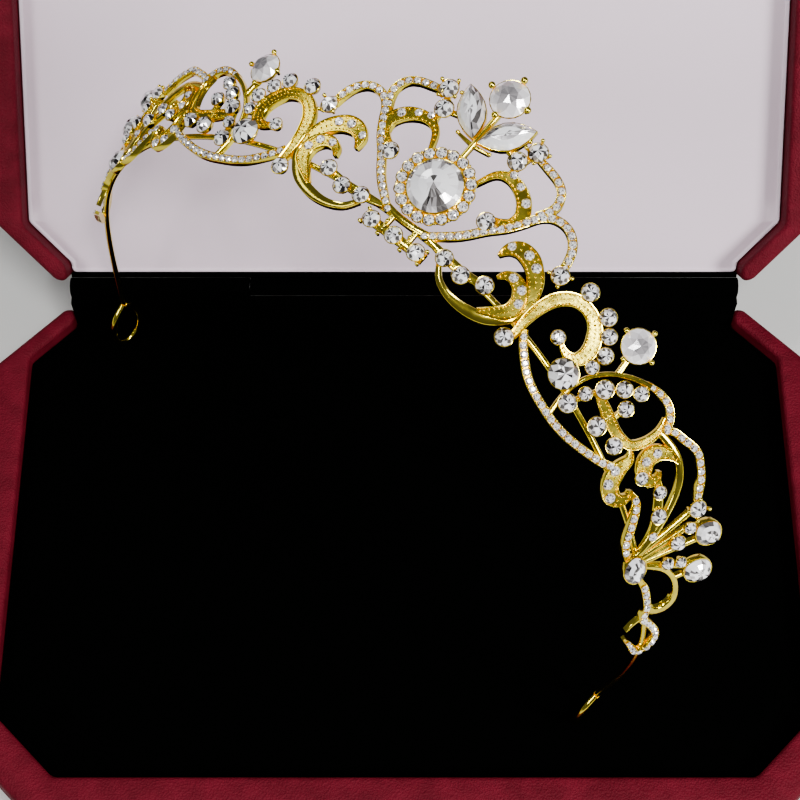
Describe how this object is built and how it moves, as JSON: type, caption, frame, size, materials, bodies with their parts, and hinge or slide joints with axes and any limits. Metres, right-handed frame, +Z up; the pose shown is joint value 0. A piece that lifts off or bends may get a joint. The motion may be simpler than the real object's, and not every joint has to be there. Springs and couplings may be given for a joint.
{
  "type": "bridal crown in an open presentation box",
  "caption": "Gold-coloured bridal crown with scrolls, leaves and clear stones, standing in an open velvet-lined presentation box with a hinged lid.",
  "frame": {"origin": "floor level under the middle of the pad", "axes": "+Z up, +X to the box's right, +Y towards the hinge"},
  "size_m": [0.24, 0.2759, 0.1638],
  "materials": {
    "gold": "polished gold plate",
    "crystal": "faceted clear crystal with a foiled back",
    "velvet": "short-pile black velvet",
    "satin": "off-white satin",
    "leatherette": "dark red grained leatherette",
    "steel": "plain"
  },
  "bodies": {
    "box": {"crown_frame": "gold", "centre_stone": "crystal", "halo_stones": "crystal", "top_stone": "crystal", "leaf_stone_left": "crystal", "leaf_stone_right": "crystal", "base_row_stones": "crystal", "round_stones_left": "crystal", "round_stones_right": "crystal", "big_stone_left": "crystal", "big_stone_right": "crystal", "middle_stone_left": "crystal", "middle_stone_right": "crystal", "end_stones_left": "crystal", "end_stones_right": "crystal", "box_base": "leatherette", "box_pad": "velvet", "box_spine": "velvet", "hinge_roll_left": "velvet", "hinge_roll_right": "velvet", "hinge_pin": "steel"},
    "lid": {"lid_frame": "leatherette", "lid_panel": "satin", "lid_strip": "velvet", "lid_roll": "velvet"}
  },
  "joints": [
    {"name": "lid_hinge", "type": "hinge", "parent": "box", "child": "lid", "pos_m": [0, 0.0767, 0.038], "axis": [1, 0, 0], "range_deg": [0, 20]}
  ]
}
